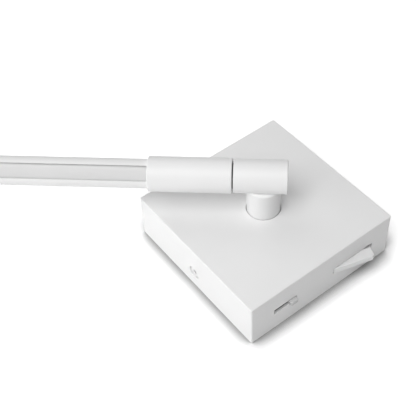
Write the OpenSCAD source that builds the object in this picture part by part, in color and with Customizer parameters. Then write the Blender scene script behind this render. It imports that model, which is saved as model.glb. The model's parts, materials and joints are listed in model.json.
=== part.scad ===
// Swing-arm wall light: a square base, a post that swivels on it, and a light bar that rolls
// in the post's knuckle. The wall is the plane z = 0 and +Z points away from it into the room.
// The switches are in the -Y side. On a wall this side usually faces down.

/* [Base] */
// Side of the square base
base_side = 100; // [96:1:120]
// Depth of the base, from the wall to its front
base_depth = 30; // [28:0.5:36]
// Thickness of the base's side walls
base_wall = 2.5; // [2:0.1:3]
// Thickness of the base's front
base_front = 3; // [2.5:0.1:4]
// Radius on the base's outer edges
base_edge = 0.5; // [0.3:0.1:2]

/* [Wall plate] */
// Thickness of the plate that is screwed to the wall
plate_t = 2; // [1.5:0.1:2.5]
// Room between the plate and the base's side walls
plate_gap = 0.4; // [0.3:0.1:1]
// Width of the plate's folded tabs
tab_w = 16; // [12:1:20]
// Distance between the middles of the two wall slots
wall_pitch = 60; // [56:1:64]
// Width of a wall slot
wall_slot_w = 5; // [4:0.1:6]
// Length of a wall slot, over its round ends
wall_slot_l = 11; // [8:0.5:13]
// Bore of the grommet for the supply cable
cable_bore = 9; // [7:0.5:10]
// Wall of the grommet's sleeve
grommet_wall = 2; // [1.5:0.1:2.5]
// Middle of the grommet, along X and Y
grommet_x = 2; // [0:0.5:4]
grommet_y = -18; // [-19:0.5:-17]

/* [Cover screws] */
// Thread diameter of a cover screw
cover_thread = 4; // [3:0.5:5]
// Diameter of a cover screw's head
cover_head_d = 7.2; // [6.5:0.1:9]
// Height of a cover screw's head
cover_head_h = 0.9; // [0.8:0.1:2]
// Hexagon socket of a cover screw, across its flats
cover_key = 2.5; // [2:0.1:2.5]
// Length of a cover screw under its head
cover_screw_l = 6.5; // [5.5:0.5:7.5]
// Wall left under a cover screw's head, at the bottom of its recess
cover_floor = 0.9; // [0.8:0.1:1.5]
// Height of the cover screws above the wall
cover_screw_z = 11; // [9:0.5:14]

/* [Swivel] */
// Diameter of the post
post_d = 19.1; // [17:0.1:19.5]
// Height of the arm's axis above the base's front
post_rise = 25; // [18:0.5:40]
// Distance of the post's shoulder below the arm's axis
shoulder_drop = 5.9; // [4:0.1:7]
// Radius on the post's shoulder
shoulder_edge = 1.5; // [0.5:0.1:2]
// Depth of the pocket in the front that the post's foot drops into
pocket_depth = 5; // [4:0.5:6]
// Gap round the post's foot in its pocket
foot_gap = 0.2; // [0.15:0.05:0.8]
// Diameter of the shank that turns in the base
shank_d = 12; // [11:0.5:13]
// Bore for the lead through the shank
lead_bore = 7; // [5:0.5:8]
// Length of the bush in the base
bush_l = 6; // [5:0.5:7]
// Wall of the bushes
bush_wall = 2; // [1.5:0.1:2.2]
// Direction of the arm at rest, from +X towards +Y
arm_angle = 138.4; // [60:0.1:150]

/* [Knuckle and sleeve] */
// Diameter of the knuckle across the post's top
knuckle_d = 18.6; // [18:0.1:22]
// Length of the knuckle from the post's axis towards the arm
knuckle_front = 16.4; // [14:0.1:20]
// Length of the knuckle behind the post's axis
knuckle_back = 12.8; // [11:0.1:18]
// Radius on the rims of the knuckle and the sleeve
rim_edge = 0.8; // [0.3:0.1:0.9]
// Gap between the knuckle and the sleeve
roll_gap = 0.6; // [0.5:0.1:1.5]
// Length of the sleeve
sleeve_l = 45.6; // [44:0.1:55]
// Wall of the sleeve, round the bar's end
sleeve_wall = 1.55; // [1.2:0.05:3]
// Diameter of the spindle where the sleeve's bush turns on it
journal_d = 12; // [11:0.5:12]
// Diameter of the spindle's threaded root, and of the knuckle's bore for it
root_d = 8; // [7:0.5:9]
// Diameter of the spindle's threaded end
spindle_thread = 10; // [9:0.5:10]
// Bore through the spindle
spindle_bore = 5; // [4:0.5:5.5]
// Length of the bush in the sleeve
roll_bush_l = 16.5; // [14:0.5:18]

/* [Light bar] */
// Diameter of the light bar
bar_d = 16.2; // [15.5:0.1:18]
// Reach of the arm, from the post's axis to its free end
arm_reach = 400; // [250:5:600]
// Length of the bar that the sleeve holds
bar_seat = 15.5; // [12:0.5:16]
// Width of the channel's mouth
channel_w = 8.4; // [7:0.1:9]
// Depth of the diffuser below the channel's lips
diffuser_depth = 2.3; // [1:0.1:3]
// Thickness of the diffuser
diffuser_t = 1.5; // [1:0.1:2]
// How far the diffuser tucks under each lip
diffuser_tuck = 0.9; // [0.6:0.1:1.2]
// Thickness of the board that carries the light chips
led_board_t = 1; // [0.8:0.1:1.6]
// Distance between the light chips
led_pitch = 12; // [8:0.5:20]
// Side of a light chip
led_side = 2.8; // [2:0.1:3.5]
// Thickness of the end cap
end_cap_t = 2; // [2:0.1:4]
// Tilt of the channel at rest, from straight out of the wall
light_tilt = 43; // [0:1:90]

/* [Switches] */
// Height of both switches above the wall
switch_z = 14.6; // [14:0.1:16]
// Middle of the rocker along X
rocker_x = 22.4; // [20:0.1:24]
// Length of the rocker
rocker_l = 25; // [22:0.1:27]
// Height of the rocker along Z
rocker_h = 3.6; // [3:0.1:4.5]
// Tilt of the rocker to either side
rocker_tilt = 16.5; // [8:0.5:17]
// Depth of the rocker's pivot behind the outer face
rocker_pivot = 4; // [4:0.1:5]
// Radius on the rocker's outer corners
rocker_edge = 1.5; // [0.5:0.1:2]
// Diameter of the rocker's pivot pin
rocker_pin_d = 1.6; // [1.2:0.1:2]
// Middle of the slide switch's slot along X
slide_x = -26.6; // [-28:0.05:-24]
// Length of the slide switch's nub along X
nub_l = 5; // [4:0.1:8]
// Height of the nub along Z
nub_h = 2.8; // [2.5:0.1:4]
// How far the nub stands proud of the face
nub_proud = 2.2; // [1.5:0.1:4]
// Radius on the nub's outer corners
nub_edge = 1; // [0.5:0.1:1.9]
// Travel of the slide switch
slide_travel = 9.9; // [6:0.1:11]
// Clearance round the rocker and at the ends of the nub's travel
slot_gap = 0.3; // [0.2:0.05:0.5]
// Clearance above and below the nub in its slot
nub_gap = 0.5; // [0.2:0.05:0.6]

/* [Electrics] */
// Length of the LED driver, without its ears
driver_l = 70; // [60:1:72]
// Width of the LED driver
driver_w = 26; // [22:0.5:27]
// Height of the LED driver
driver_h = 14; // [12:0.5:15]
// Poles of the terminal block
terminal_poles = 3; // [2:1:3]
// Width of one pole
pole_w = 8; // [6:0.5:8]
// Depth of the terminal block along Y
terminal_d = 15; // [12:0.5:15]
// Height of the terminal block
terminal_h = 12; // [10:0.5:14]
// Thickness of the control board
board_t = 1.6; // [1:0.1:2]
// Diameter of the mains wires
wire_d = 2.2; // [1.6:0.1:2.4]
// Diameter of the lead to the lights
lead_d = 2.6; // [2:0.1:3]

/* [Hidden] */
$fn = 64;
hull_fn = 32;

// Clearances: turning fits, pieces that are pressed or screwed together, and faces that slide
run_gap = 0.03;
seat_gap = 0.05;
face_gap = 0.1;
// Clearance round a screw in the hole that it passes through
screw_gap = 0.3;
// Distance that the ends of screws and pins keep from the face before them
tip_short = 0.3;
// Length of thread that shows past a nut
thread_past = 0.7;
// Driver slots in the heads of the small screws
cut_w = 0.8;
cut_deep = 0.8;
// Distance that cutting shapes run past the faces they cut
past = 1;

// Base
half = base_side / 2;
inner = half - base_wall;
front_in = base_depth - base_front;

// Wall plate
plate_half = inner - plate_gap;
tab_over = 5;
tab_top = cover_screw_z + tab_over;
slot_run = wall_slot_l - wall_slot_w;
grommet_d = cable_bore + 2 * grommet_wall;
grommet_flange = 1.5;
grommet_lip = 1.5;
cover_key_depth = 2;
cover_head_edge = 0.3;
cover_head_gap = 0.4;
cover_recess = base_wall - cover_floor;

// Swivel stack, from the pocket's floor down to the end of the shank
axis_z = base_depth + post_rise;
shoulder_z = axis_z - shoulder_drop;
pocket_z = base_depth - pocket_depth;
pocket_d = post_d + 2 * foot_gap;
bush_flange_t = 0.8;
bush_d = shank_d + 2 * bush_wall;
bush_flange_d = post_d;
foot_z = pocket_z + bush_flange_t + face_gap;
boss_z = pocket_z - bush_l;
washer_lap = 5;
washer_d = shank_d + 2 * washer_lap;
friction_t = 1;
friction_z = boss_z - friction_t;
stop_t = 1.5;
stop_z = friction_z - face_gap - stop_t;
spring_t = 0.6;
spring_h = 1.6;
spring_in = 1;
spring_d = washer_d - 2 * spring_in;
spring_z = stop_z - spring_h;
nut_h = 5;
nut_wall = 3;
nut_flats = shank_d + 2 * nut_wall;
nut_z = spring_z - nut_h;
shank_end = nut_z - thread_past;
stop_pin_d = 2;
stop_pin_out = 1.6;
stop_pin_r = washer_d / 2 + stop_pin_d / 2 + stop_pin_out;
stop_pin_sunk = 3;
stop_tab_w = 3;
stop_tab_past = 0.6;
stop_tab_r = stop_pin_r + stop_pin_d / 2 + stop_tab_past;
boss_wall = 1;
boss_d = 2 * stop_pin_r + stop_pin_d + 2 * boss_wall;

// Along the arm, measured from the post's axis
sleeve_start = knuckle_front + roll_gap;
sleeve_end = sleeve_start + sleeve_l;
sleeve_bore = bar_d + 2 * seat_gap;
sleeve_d = sleeve_bore + 2 * sleeve_wall;
root_l = 8.2;
collar_lap = 1;
collar_d = journal_d + 2 * collar_lap;
roll_bush_end = sleeve_start + roll_bush_l;
end_play = 0.3;
journal_end = roll_bush_end + end_play;
roll_stop_t = 1.4;
roll_stop_end = journal_end + roll_stop_t;
roll_washer_lap = 0.5;
roll_washer_d = journal_d + 2 * roll_washer_lap;
roll_clear = 0.4;
roll_tab_w = 1.4;
roll_tab_r = bar_d / 2 - roll_clear;
roll_lug_w = 1.4;
roll_lug_r = roll_washer_d / 2 + roll_clear;
roll_lug_past = 0.2;
roll_lug_end = roll_stop_end + roll_lug_past;
roll_spring_d = roll_washer_d;
roll_spring_end = roll_stop_end + spring_h;
roll_nut_h = 4;
roll_nut_flats = roll_washer_d;
roll_nut_end = roll_spring_end + roll_nut_h;
spindle_end = roll_nut_end + thread_past;
plug_t = 2;
bar_start = sleeve_end - bar_seat;
bar_end = arm_reach - end_cap_t;
bar_l = bar_end - bar_start;

// Cross-section of the bar, with +Y out of the channel's mouth
bar_r = bar_d / 2;
lip_y = sqrt(pow(bar_r, 2) - pow(channel_w / 2, 2));
diffuser_top = lip_y - diffuser_depth;
diffuser_y = diffuser_top - diffuser_t;
diffuser_w = channel_w + 2 * diffuser_tuck;
port_d = 2.5;
port_in = 2.8;
port_y = port_in - bar_r;
port_wall = 1.35;
led_board_w = channel_w - 2 * face_gap;
led_floor_y = port_y + port_d / 2 + port_wall;
led_top_y = led_floor_y + led_board_t;
led_h = 0.7;
set_screw_d = 3;
set_screw_sunk = 0.3;
set_screw_bite = 1.1;
set_screw_r = sleeve_d / 2 - set_screw_sunk;
set_screw_l = set_screw_r - bar_r + set_screw_bite;
set_screw_at = sleeve_end - bar_seat / 2;
small_key = 1.5;
small_key_depth = 0.7;
diffuser_in = 4.6;
diffuser_start = sleeve_end - diffuser_in;
cap_screw_head_d = 4.2;
cap_screw_head_h = 1.2;
cap_screw_l = 8;
led_margin = 6;
led_first = sleeve_end + led_margin;
led_last = bar_end - led_margin;
led_count = floor((led_last - led_first) / led_pitch) + 1;

// Leads
lead_bend = 4.5;
lead_gap = 0.3;
lead_past = 0.8;
lead_lift = 0.9;
lead_joint_l = 1.6;
lead_join_z = shank_end - lead_past;
lead_z = plate_t + lead_lift + lead_d / 2;
driver_bend = (lead_join_z - lead_z) / 2;
post_lead_end = spindle_end + lead_past;
bar_lead_start = post_lead_end + lead_gap;
bar_lead_end = diffuser_start + lead_joint_l;

// Rocker, whose outer face is level with the base at one end
pivot_y = -half + rocker_pivot;
rocker_face = (rocker_pivot + sin(rocker_tilt) * rocker_l / 2) / cos(rocker_tilt);
rocker_reach = rocker_l / 2 * cos(rocker_tilt) + rocker_face * sin(rocker_tilt);
rocker_slot_l = 2 * (rocker_reach + slot_gap);
rocker_slot_h = rocker_h + 2 * slot_gap;
rocker_inner = 1.6;
rocker_hub_wall = 1.6;
rocker_hub_r = rocker_pin_d / 2 + rocker_hub_wall;
nose_w = 3;
nose_h = rocker_h - 2 * slot_gap;
nose_end = 9.5;
ear_t = 1.8;
frame_side = 1.5;
frame_half = rocker_slot_l / 2 + frame_side;
frame_d = 9;
frame_top = switch_z + rocker_slot_h / 2 + ear_t;
frame_bottom = switch_z - rocker_slot_h / 2 - ear_t;
frame_back = -inner + frame_d;
block_half = 11;
block_d = 9;
block_clear = 0.8;
block_slot_half = nose_end * sin(rocker_tilt) + nose_w / 2 + block_clear;
block_slot_d = norm([nose_end, nose_w / 2]) + pivot_y - frame_back + block_clear;

// Slide switch
slide_slot_l = nub_l + slide_travel + 2 * slot_gap;
slide_slot_h = nub_h + 2 * nub_gap;
slot_relief = 1;
relief_drop = 1.6;
nub_x = slide_x + slide_travel / 2;
shoe_lip = 1;
shoe_rise = 1.4;
shoe_half = nub_l / 2 + shoe_lip;
shoe_h = nub_h + 2 * shoe_rise;
shoe_t = 1.5;
case_wall = 1.5;
cavity_half = shoe_half + slide_travel / 2 + slot_gap;
case_half = cavity_half + case_wall;
case_d = 9;
case_top = switch_z + shoe_h / 2 + slot_gap + case_wall;
wiper_t = 0.3;
wiper_w = 2;
wiper_half = 3;

// Control board
board_top = frame_bottom;
board_d = 20.5;
board_back = -inner + board_d;
pillar_d = 6;
pillar_clear = 0.6;
middle_pillar_in = 4;
right_pillar_in = 1.5;
board_hole_d = 2.5;
board_screw_l = 8;
board_head_d = 4.6;
board_head_h = 1.5;
left_pillar = [slide_x - case_half + pillar_d / 2, board_back - pillar_d / 2 - pillar_clear];
middle_pillar = [
    (slide_x + case_half + rocker_x - frame_half) / 2, -inner + pillar_d / 2 + middle_pillar_in
];
right_pillar = [
    rocker_x + frame_half + pillar_d / 2 + pillar_clear, -inner + pillar_d / 2 + right_pillar_in
];
pillars = [left_pillar, middle_pillar, right_pillar];
board_left = left_pillar[0] - pillar_d / 2;
board_right = right_pillar[0] + pillar_d / 2;
part_margin = 1;
plug_socket = [6, 6, 7];
capacitor_d = 8;
capacitor_h = 10;
chip = [6, 5, 1.7];

// Driver and terminals
driver_back = 4.5;
driver_y = inner - driver_back - driver_w;
ear_l = 8;
driver_ear_w = 10;
driver_ear_t = 2;
driver_screw_d = 3;
driver_head_d = 5.5;
driver_head_h = 2;
driver_ear_x = driver_l / 2 + ear_l / 2;
terminal_l = terminal_poles * pole_w;
terminal_side = 5.5;
terminal_gap = 2;
terminal_x = -inner + terminal_side;
terminal_y = board_back + terminal_gap;
terminal_screw_d = 3.4;
terminal_screw_h = 2.4;
terminal_well = 3;
terminal_screw_in = 4.5;
terminal_rows = [terminal_screw_in, terminal_d - terminal_screw_in];
cage_floor = 1.5;
cage_side = 4;
cage_deep = 4;
earth_x = wall_pitch / 2;
earth_y = -16;
earth_d = 4;
earth_flats = 7;
earth_head_h = 3.2;
wire_clear = 0.4;
wire_space = 0.8;
wire_pitch = wire_d + wire_space;
wire_inset = 4;
wire_corner = 4;
wire_x = half - cover_recess - cover_screw_l - wire_d / 2 - wire_clear;
mains_z = plate_t + lead_lift + wire_d / 2;
mains_levels = [mains_z, mains_z + wire_pitch];
driver_in_x = -driver_l / 2 + wire_inset;
driver_out_x = driver_l / 2 - wire_inset;
wire_turn_y = driver_y - wire_corner;

// Shared shapes

// Puts local Z along the arm, local Y straight out of the wall and the origin on the post's axis
module along_arm() {
    translate([0, 0, axis_z]) rotate([0, 0, arm_angle]) rotate([90, 0, 90]) children();
}

// The same, with local Y out of the bar's channel
module along_bar() {
    along_arm() rotate([0, 0, -light_tilt]) children();
}

// Half outline of a round bar with rounded rims
module rod_outline(r, l, edge) {
    square([r - edge, l]);
    translate([0, edge]) square([r, l - 2 * edge]);
    for (z = [edge, l - edge]) translate([r - edge, z]) circle(edge);
}

// Half outline of a round bar whose upper rim is rounded
module stud_outline(r, l, edge) {
    square([r, l - edge]);
    square([r - edge, l]);
    translate([r - edge, l - edge]) circle(edge);
}

// Rectangle from y = 0 to y = l, with its corners at y = 0 rounded
module blunt_outline(w, l, edge) {
    c = w / 2 - edge;
    translate([-w / 2, edge]) square([w, l - edge]);
    translate([-c, 0]) square([2 * c, l]);
    for (x = [-c, c]) translate([x, edge]) circle(edge);
}

// Flat ring
module ring(outer_d, inner_d, h) {
    difference() {
        cylinder(h = h, d = outer_d);
        translate([0, 0, -past]) cylinder(h = h + 2 * past, d = inner_d);
    }
}

// Hexagon bar, measured across its flats
module hexagon(flats, h) {
    cylinder(h = h, d = flats / cos(30), $fn = 6);
}

// Coned washer that springs: its inner rim is low and its outer rim is high
module coned_washer(outer_d, inner_d, h, t) {
    rotate_extrude() polygon([
        [inner_d / 2, 0], [outer_d / 2, h - t], [outer_d / 2, h], [inner_d / 2, t]
    ]);
}

// Slot with round ends along X, through a plate that starts at z = 0
module round_slot(run, w, h) {
    translate([-run / 2, -w / 2, 0]) cube([run, w, h]);
    for (x = [-run / 2, run / 2]) translate([x, 0, 0]) cylinder(h = h, d = w);
}

// Straight piece of wire from one point to another
module wire_run(from, to, d) {
    v = to - from;
    l = norm(v);
    translate(from) rotate([0, acos(v[2] / l), atan2(v[1], v[0])]) cylinder(h = l, d = d);
}

// Direction of a vector, as a vector of length 1
function heading(v) = v / norm(v);

// Angle that a wire turns through at its point i
function turn(points, i) =
    acos(heading(points[i] - points[i - 1]) * heading(points[i + 1] - points[i]));

// Distance from point i at which the straight runs stop, so that they keep clear of each other
function run_stop(points, i, d) = i == 0 || i == len(points) - 1
    ? 0 : d / 2 * tan(turn(points, i) / 2) + seat_gap;

// Wire through a list of points, with a ball at each corner that takes in the ends of both runs
module wire(points, d) {
    for (i = [0 : len(points) - 2]) {
        along = heading(points[i + 1] - points[i]);
        from = points[i] + along * run_stop(points, i, d);
        to = points[i + 1] - along * run_stop(points, i + 1, d);
        wire_run(from, to, d);
    }
    for (i = [1 : len(points) - 2]) {
        out = heading(points[i] - points[i - 1]) - heading(points[i + 1] - points[i]);
        translate(points[i]) rotate([0, 0, atan2(out[1], out[0])])
            sphere(r = norm([run_stop(points, i, d), d / 2]) + seat_gap);
    }
}

// Base and its wall plate

module wall_plate() color("lightsteelblue") difference() {
    union() {
        translate([-plate_half, -plate_half, 0]) cube([2 * plate_half, 2 * plate_half, plate_t]);
        for (side = [0, 180]) rotate([0, 0, side])
            translate([plate_half - plate_t, -tab_w / 2, 0]) cube([plate_t, tab_w, tab_top]);
    }
    for (x = [-wall_pitch / 2, wall_pitch / 2])
        translate([x, 0, -past]) round_slot(slot_run, wall_slot_w, plate_t + 2 * past);
    translate([grommet_x, grommet_y, -past])
        cylinder(h = plate_t + 2 * past, d = grommet_d + 2 * seat_gap);
    translate([-inner, 0, cover_screw_z]) rotate([0, 90, 0])
        cylinder(h = 2 * inner, d = cover_thread + 2 * seat_gap);
    for (x = [-driver_ear_x, driver_ear_x])
        translate([x, driver_y + driver_w / 2, -past])
            cylinder(h = plate_t + 2 * past, d = driver_screw_d + 2 * seat_gap);
    translate([earth_x, earth_y, -past])
        cylinder(h = plate_t + 2 * past, d = earth_d + 2 * seat_gap);
}

// Outer block of the base, rounded on every edge but those at the wall
module base_block() {
    c = half - base_edge;
    hull() for (x = [-c, c], y = [-c, c]) translate([x, y, 0]) {
        cylinder(h = past, r = base_edge, $fn = hull_fn);
        translate([0, 0, base_depth - base_edge]) sphere(r = base_edge, $fn = hull_fn);
    }
}

module base_housing() color("white") difference() {
    union() {
        difference() {
            base_block();
            translate([-inner, -inner, -past]) cube([2 * inner, 2 * inner, front_in + past]);
        }
        translate([0, 0, boss_z]) cylinder(h = front_in - boss_z, d = boss_d);
        for (p = pillars) translate([p[0], p[1], board_top])
            cylinder(h = front_in - board_top, d = pillar_d);
    }
    translate([0, 0, pocket_z]) cylinder(h = pocket_depth + past, d = pocket_d);
    translate([0, 0, boss_z - past]) cylinder(h = bush_l + 2 * past, d = bush_d + 2 * seat_gap);
    translate([0, -stop_pin_r, boss_z - past])
        cylinder(h = stop_pin_sunk + past, d = stop_pin_d + 2 * seat_gap);
    for (p = pillars) translate([p[0], p[1], board_top - past])
        cylinder(h = board_screw_l - board_t + tip_short + past, d = board_hole_d + 2 * seat_gap);
    translate([rocker_x - rocker_slot_l / 2, -half - past, switch_z - rocker_slot_h / 2])
        cube([rocker_slot_l, base_wall + 2 * past, rocker_slot_h]);
    translate([slide_x - slide_slot_l / 2, -half - past, switch_z - slide_slot_h / 2])
        cube([slide_slot_l, base_wall + 2 * past, slide_slot_h]);
    translate([slide_x - slide_slot_l / 2, -inner - slot_relief, switch_z - slide_slot_h / 2 - relief_drop])
        cube([slide_slot_l, slot_relief + past, relief_drop + past]);
    translate([-half - past, 0, cover_screw_z]) rotate([0, 90, 0])
        cylinder(h = base_side + 2 * past, d = cover_thread + 2 * screw_gap);
    for (side = [0, 180]) rotate([0, 0, side]) translate([-half - past, 0, cover_screw_z])
        rotate([0, 90, 0]) cylinder(h = cover_recess + past, d = cover_head_d + 2 * cover_head_gap);
}

module cover_screw() difference() {
    union() {
        rotate_extrude() rod_outline(cover_head_d / 2, cover_head_h, cover_head_edge);
        translate([0, 0, -cover_screw_l]) cylinder(h = cover_screw_l + cover_head_h / 2, d = cover_thread);
    }
    translate([0, 0, cover_head_h - cover_key_depth]) hexagon(cover_key, cover_key_depth + past);
}

module cover_screws() color("gainsboro") for (side = [0, 180])
    rotate([0, 0, side]) translate([cover_recess - half, 0, cover_screw_z])
        rotate([0, -90, 0]) cover_screw();

module cable_grommet() color("dimgray") translate([grommet_x, grommet_y, 0]) difference() {
    union() {
        cylinder(h = plate_t, d = grommet_d);
        translate([0, 0, plate_t]) cylinder(h = grommet_flange, d = grommet_d + 2 * grommet_lip);
    }
    translate([0, 0, -past]) cylinder(h = plate_t + grommet_flange + 2 * past, d = cable_bore);
}

// Electrics on the wall plate

module terminal_block() color("whitesmoke") translate([terminal_x, terminal_y, plate_t]) difference() {
    cube([terminal_l, terminal_d, terminal_h]);
    for (pole = [0 : terminal_poles - 1]) translate([(pole + 0.5) * pole_w, 0, 0]) {
        for (y = [-past, terminal_d - cage_deep]) translate([-cage_side / 2, y, cage_floor])
            cube([cage_side, cage_deep + past, cage_side]);
        for (y = terminal_rows) translate([0, y, terminal_h - terminal_well])
            cylinder(h = terminal_well + past, d = terminal_screw_d + 2 * screw_gap);
    }
}

module terminal_screws() color("silver") translate([terminal_x, terminal_y, plate_t])
    for (pole = [0 : terminal_poles - 1], y = terminal_rows)
        translate([(pole + 0.5) * pole_w, y, terminal_h - terminal_well]) difference() {
            cylinder(h = terminal_screw_h, d = terminal_screw_d);
            translate([-terminal_screw_d, -cut_w / 2, terminal_screw_h - cut_deep])
                cube([2 * terminal_screw_d, cut_w, cut_deep + past]);
        }

module earth_screw() color("gold") translate([earth_x, earth_y, 0]) {
    translate([0, 0, tip_short]) cylinder(h = plate_t, d = earth_d);
    translate([0, 0, plate_t]) hexagon(earth_flats, earth_head_h);
}

module led_driver() color("ivory") translate([0, driver_y, plate_t]) difference() {
    union() {
        translate([-driver_l / 2, 0, 0]) cube([driver_l, driver_w, driver_h]);
        translate([-driver_l / 2 - ear_l, (driver_w - driver_ear_w) / 2, 0])
            cube([driver_l + 2 * ear_l, driver_ear_w, driver_ear_t]);
    }
    for (x = [-driver_ear_x, driver_ear_x]) translate([x, driver_w / 2, -past])
        cylinder(h = driver_ear_t + 2 * past, d = driver_screw_d + 2 * screw_gap);
}

module driver_screws() color("silver") for (x = [-driver_ear_x, driver_ear_x])
    translate([x, driver_y + driver_w / 2, plate_t + driver_ear_t]) difference() {
        union() {
            cylinder(h = driver_head_h, d = driver_head_d);
            translate([0, 0, tip_short - driver_ear_t - plate_t])
                cylinder(h = driver_ear_t + plate_t, d = driver_screw_d);
        }
        translate([-driver_head_d, -cut_w / 2, driver_head_h - cut_deep])
            cube([2 * driver_head_d, cut_w, cut_deep + past]);
    }

module mains_wires() color("saddlebrown") for (z = mains_levels)
    wire([
        [-wire_x, terminal_y + terminal_d, z], [-wire_x, wire_turn_y - wire_corner, z],
        [driver_in_x, wire_turn_y, z], [driver_in_x, driver_y, z]
    ], wire_d);

module switch_wires() color("darkslateblue") {
    z = board_top + plug_socket[2] / 2;
    wire([
        [wire_x, board_back - part_margin, z], [wire_x, wire_turn_y - wire_corner, z],
        [driver_out_x, wire_turn_y, z], [driver_out_x, driver_y, z]
    ], wire_d);
}

module driver_lead() color("lightgray")
    wire([
        [0, driver_y, lead_z], [0, driver_bend, lead_z],
        [0, 0, lead_z + driver_bend], [0, 0, lead_join_z]
    ], lead_d);

// Switches and their board

module control_board() color("seagreen") difference() {
    translate([board_left, -inner + slot_gap, board_top - board_t])
        cube([board_right - board_left, board_back + inner - slot_gap, board_t]);
    for (p = pillars) translate([p[0], p[1], board_top - board_t - past])
        cylinder(h = board_t + 2 * past, d = board_hole_d + 2 * screw_gap);
}

module board_screws() color("silver") for (p = pillars)
    translate([p[0], p[1], board_top - board_t]) difference() {
        union() {
            cylinder(h = board_screw_l, d = board_hole_d);
            translate([0, 0, -board_head_h]) cylinder(h = board_head_h, d = board_head_d);
        }
        translate([-board_head_d, -cut_w / 2, -board_head_h - past])
            cube([2 * board_head_d, cut_w, cut_deep + past]);
    }

module board_parts() color("darkslategray") {
    back = board_back - part_margin;
    translate([wire_x - plug_socket[0] / 2, back - plug_socket[1], board_top]) cube(plug_socket);
    translate([slide_x, back - capacitor_d / 2, board_top])
        cylinder(h = capacitor_h, d = capacitor_d);
    translate([middle_pillar[0] - chip[0] / 2, back - chip[1], board_top]) cube(chip);
}

module rocker_frame() color("whitesmoke") difference() {
    translate([rocker_x - frame_half, -inner, frame_bottom])
        cube([2 * frame_half, frame_d, frame_top - frame_bottom]);
    translate([rocker_x - frame_half + frame_side, -inner - past, frame_bottom + ear_t])
        cube([2 * (frame_half - frame_side), frame_d + 2 * past, rocker_slot_h]);
    translate([rocker_x, pivot_y, frame_bottom - past])
        cylinder(h = frame_top - frame_bottom + 2 * past, d = rocker_pin_d + 2 * seat_gap);
}

module rocker_pin() color("silver") translate([rocker_x, pivot_y, frame_bottom])
    cylinder(h = frame_top - frame_bottom, d = rocker_pin_d);

module switch_block() color("dimgray") difference() {
    translate([rocker_x - block_half, frame_back, board_top])
        cube([2 * block_half, block_d, frame_top - board_top]);
    translate([rocker_x - block_slot_half, frame_back - past, switch_z - nose_h / 2 - slot_gap])
        cube([2 * block_slot_half, block_slot_d + past, nose_h + 2 * slot_gap]);
}

// Outline of the rocker round its pivot, with -Y out of the base
module rocker_outline() {
    translate([0, -rocker_face])
        blunt_outline(rocker_l, rocker_face - rocker_inner, rocker_edge);
    circle(rocker_hub_r);
}

module rocker_paddle() color("white")
    translate([rocker_x, pivot_y, switch_z]) rotate([0, 0, -rocker_tilt]) difference() {
        union() {
            translate([0, 0, -rocker_h / 2]) linear_extrude(rocker_h) rocker_outline();
            translate([-nose_w / 2, 0, -nose_h / 2]) cube([nose_w, nose_end, nose_h]);
        }
        translate([0, 0, -rocker_h]) cylinder(h = 2 * rocker_h, d = rocker_pin_d + 2 * run_gap);
    }

module slide_case() color("dimgray") difference() {
    translate([slide_x - case_half, -inner, board_top]) cube([2 * case_half, case_d, case_top - board_top]);
    translate([slide_x - cavity_half, -inner - past, switch_z - shoe_h / 2 - slot_gap])
        cube([2 * cavity_half, case_d - case_wall + past, shoe_h + 2 * slot_gap]);
}

module slide_knob() color("white") translate([nub_x, 0, switch_z]) {
    translate([0, -half - nub_proud, -nub_h / 2]) linear_extrude(nub_h)
        blunt_outline(nub_l, nub_proud + base_wall + slot_gap + shoe_t, nub_edge);
    translate([-shoe_half, -inner + slot_gap, -shoe_h / 2]) cube([2 * shoe_half, shoe_t, shoe_h]);
}

// Bent leaf between the knob's shoe and the back of its case
module slide_wiper() color("goldenrod") {
    near = -inner + slot_gap + shoe_t;
    far = -inner + case_d - case_wall - slot_gap;
    translate([nub_x, 0, switch_z - wiper_w / 2]) linear_extrude(wiper_w) polygon([
        [-wiper_half, near], [0, far - wiper_t], [wiper_half, near],
        [wiper_half, near + wiper_t], [0, far], [-wiper_half, near + wiper_t]
    ]);
}

// Swivel between the base and the post

module swivel_bush() color("lightgray") difference() {
    union() {
        translate([0, 0, boss_z]) cylinder(h = bush_l, d = bush_d);
        translate([0, 0, pocket_z]) cylinder(h = bush_flange_t, d = bush_flange_d);
    }
    translate([0, 0, boss_z - past])
        cylinder(h = bush_l + bush_flange_t + 2 * past, d = shank_d + 2 * run_gap);
}

module friction_washer() color("black") translate([0, 0, friction_z])
    ring(washer_d, shank_d + 2 * face_gap, friction_t);

module stop_pin() color("silver") translate([0, -stop_pin_r, stop_z - tip_short])
    cylinder(h = boss_z + stop_pin_sunk - stop_z, d = stop_pin_d);

module swivel_tee() color("white") difference() {
    union() {
        translate([0, 0, shank_end]) cylinder(h = axis_z - shank_end, d = shank_d);
        translate([0, 0, foot_z])
            rotate_extrude() stud_outline(post_d / 2, shoulder_z - foot_z, shoulder_edge);
        along_arm() translate([0, 0, -knuckle_back])
            rotate_extrude() rod_outline(knuckle_d / 2, knuckle_back + knuckle_front, rim_edge);
    }
    translate([0, 0, shank_end - past]) cylinder(h = axis_z - shank_end + past, d = lead_bore);
    along_arm() translate([0, 0, -knuckle_back - past])
        cylinder(h = knuckle_back + knuckle_front + 2 * past, d = root_d + 2 * seat_gap);
}

module knuckle_plug() color("white") along_arm() translate([0, 0, -knuckle_back])
    cylinder(h = plug_t, d = root_d);

module stop_washer() color("silver") translate([0, 0, stop_z]) rotate([0, 0, arm_angle]) difference() {
    union() {
        cylinder(h = stop_t, d = washer_d);
        translate([0, -stop_tab_w / 2, 0]) cube([stop_tab_r, stop_tab_w, stop_t]);
    }
    translate([0, 0, -past]) cylinder(h = stop_t + 2 * past, d = shank_d + 2 * seat_gap);
}

module disc_spring() color("slategray") translate([0, 0, spring_z])
    coned_washer(spring_d, shank_d + 2 * seat_gap, spring_h, spring_t);

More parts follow.
